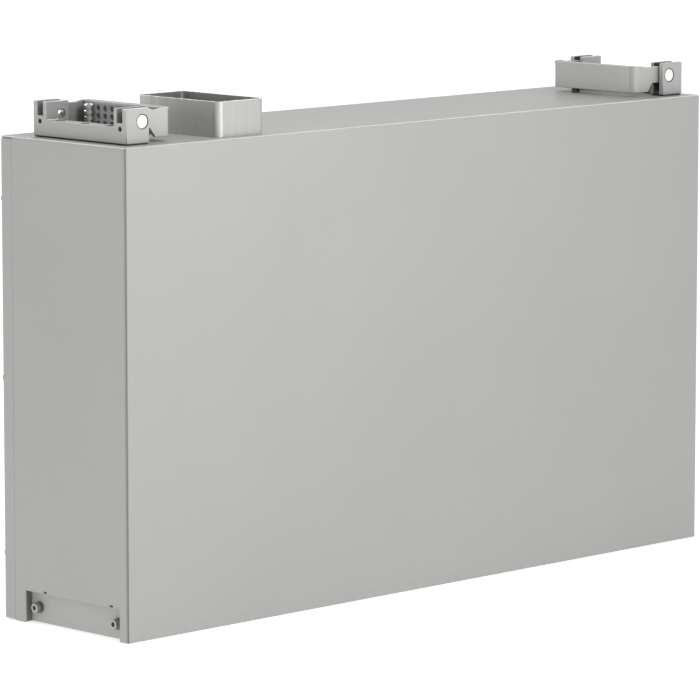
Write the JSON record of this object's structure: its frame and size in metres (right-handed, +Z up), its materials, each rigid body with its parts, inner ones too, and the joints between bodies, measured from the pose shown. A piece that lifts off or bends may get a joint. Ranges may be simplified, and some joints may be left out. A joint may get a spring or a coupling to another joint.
{
  "type": "wall battery unit",
  "caption": "Stackable home battery unit in a light grey sheet casing, with folding side handles, slotted stacking brackets and a connector collar on its top.",
  "frame": {"origin": "on the ground under the middle of the casing", "axes": "+X to the casing's right as its front is looked at, -Y out of its front, +Z up"},
  "size_m": [0.68, 0.1523, 0.424],
  "materials": {
    "shell_paint": "satin powder coat, light grey",
    "bracket_alloy": "satin paint on die-cast alloy",
    "handle_alloy": "satin paint on bent sheet",
    "collar_metal": "satin",
    "grip_plastic": "matte",
    "pin_metal": "white cap, gloss",
    "bolt_steel": "zinc plated, polished",
    "washer_dark": "black oxide, satin",
    "rubber": "matte",
    "chassis_steel": "galvanised sheet",
    "connector_plastic": "matte",
    "cell_wrap": "aluminium can in blue film, satin",
    "end_plate": "satin",
    "board": "green solder mask, satin",
    "heat_sink": "anodised, satin",
    "fuse_ceramic": "glazed ceramic, satin"
  },
  "bodies": {
    "casing": {"front_cover": "shell_paint", "rear_cover": "shell_paint", "chassis_base": "chassis_steel", "top_collar": "collar_metal", "top_connector": "connector_plastic", "bottom_connector": "connector_plastic", "side_panel_left": "shell_paint", "recess_plate_left": "shell_paint", "bracket_left": "bracket_alloy", "bracket_pad_left": "rubber", "handle_rest_left": "rubber", "hinge_pin_left_front": "pin_metal", "hinge_pin_left_rear": "pin_metal", "rear_screw_left_1": "bolt_steel", "rear_screw_left_2": "bolt_steel", "rear_screw_left_3": "bolt_steel", "side_panel_right": "shell_paint", "recess_plate_right": "shell_paint", "bracket_right": "bracket_alloy", "bracket_pad_right": "rubber", "handle_rest_right": "rubber", "hinge_pin_right_front": "pin_metal", "hinge_pin_right_rear": "pin_metal", "rear_screw_right_1": "bolt_steel", "rear_screw_right_2": "bolt_steel", "rear_screw_right_3": "bolt_steel", "cell_01": "cell_wrap", "cell_02": "cell_wrap", "cell_03": "cell_wrap", "cell_04": "cell_wrap", "cell_05": "cell_wrap", "cell_06": "cell_wrap", "cell_07": "cell_wrap", "cell_08": "cell_wrap", "cell_09": "cell_wrap", "cell_10": "cell_wrap", "cell_11": "cell_wrap", "cell_12": "cell_wrap", "cell_13": "cell_wrap", "cell_14": "cell_wrap", "cell_15": "cell_wrap", "cell_16": "cell_wrap", "end_plate_left": "end_plate", "end_plate_right": "end_plate", "busbar_board": "board", "bms_board": "board", "power_converter": "heat_sink", "main_fuse": "fuse_ceramic"},
    "handle_left": {"handle_left": "handle_alloy", "grip_insert_left": "grip_plastic"},
    "handle_right": {"handle_right": "handle_alloy", "grip_insert_right": "grip_plastic"},
    "washer_left_front": {"stack_washer_left_front": "washer_dark"},
    "bolt_left_front": {"stack_bolt_left_front": "bolt_steel"},
    "washer_left_rear": {"stack_washer_left_rear": "washer_dark"},
    "bolt_left_rear": {"stack_bolt_left_rear": "bolt_steel"},
    "washer_right_front": {"stack_washer_right_front": "washer_dark"},
    "bolt_right_front": {"stack_bolt_right_front": "bolt_steel"},
    "washer_right_rear": {"stack_washer_right_rear": "washer_dark"},
    "bolt_right_rear": {"stack_bolt_right_rear": "bolt_steel"}
  },
  "joints": [
    {"name": "handle_left_swing", "type": "hinge", "parent": "casing", "child": "handle_left", "pos_m": [-0.3117, -0.008, 0.4132], "axis": [0, -1, 0], "range_deg": [0, 120]},
    {"name": "handle_right_swing", "type": "hinge", "parent": "casing", "child": "handle_right", "pos_m": [0.3117, -0.008, 0.4132], "axis": [0, 1, 0], "range_deg": [0, 120]},
    {"name": "washer_left_front_slide", "type": "slide", "parent": "casing", "child": "washer_left_front", "axis": [-1, 0, 0], "range_m": [0, 0.0064]},
    {"name": "bolt_left_front_turn", "type": "hinge", "parent": "washer_left_front", "child": "bolt_left_front", "pos_m": [-0.3349, -0.0562, 0.0128], "axis": [-1, 0, 0], "range_deg": [0, 2880]},
    {"name": "washer_left_rear_slide", "type": "slide", "parent": "casing", "child": "washer_left_rear", "axis": [-1, 0, 0], "range_m": [0, 0.0064]},
    {"name": "bolt_left_rear_turn", "type": "hinge", "parent": "washer_left_rear", "child": "bolt_left_rear", "pos_m": [-0.3349, 0.0394, 0.0128], "axis": [-1, 0, 0], "range_deg": [0, 2880]},
    {"name": "washer_right_front_slide", "type": "slide", "parent": "casing", "child": "washer_right_front", "axis": [1, 0, 0], "range_m": [0, 0.0064]},
    {"name": "bolt_right_front_turn", "type": "hinge", "parent": "washer_right_front", "child": "bolt_right_front", "pos_m": [0.3349, -0.0562, 0.0128], "axis": [1, 0, 0], "range_deg": [0, 2880]},
    {"name": "washer_right_rear_slide", "type": "slide", "parent": "casing", "child": "washer_right_rear", "axis": [1, 0, 0], "range_m": [0, 0.0064]},
    {"name": "bolt_right_rear_turn", "type": "hinge", "parent": "washer_right_rear", "child": "bolt_right_rear", "pos_m": [0.3349, 0.0394, 0.0128], "axis": [1, 0, 0], "range_deg": [0, 2880]}
  ],
  "couplings": [
    {"joint": "bolt_left_front_turn", "follows": "washer_left_front_slide", "rad_per_m": 7854},
    {"joint": "bolt_left_rear_turn", "follows": "washer_left_rear_slide", "rad_per_m": 7854},
    {"joint": "bolt_right_front_turn", "follows": "washer_right_front_slide", "rad_per_m": 7854},
    {"joint": "bolt_right_rear_turn", "follows": "washer_right_rear_slide", "rad_per_m": 7854}
  ]
}
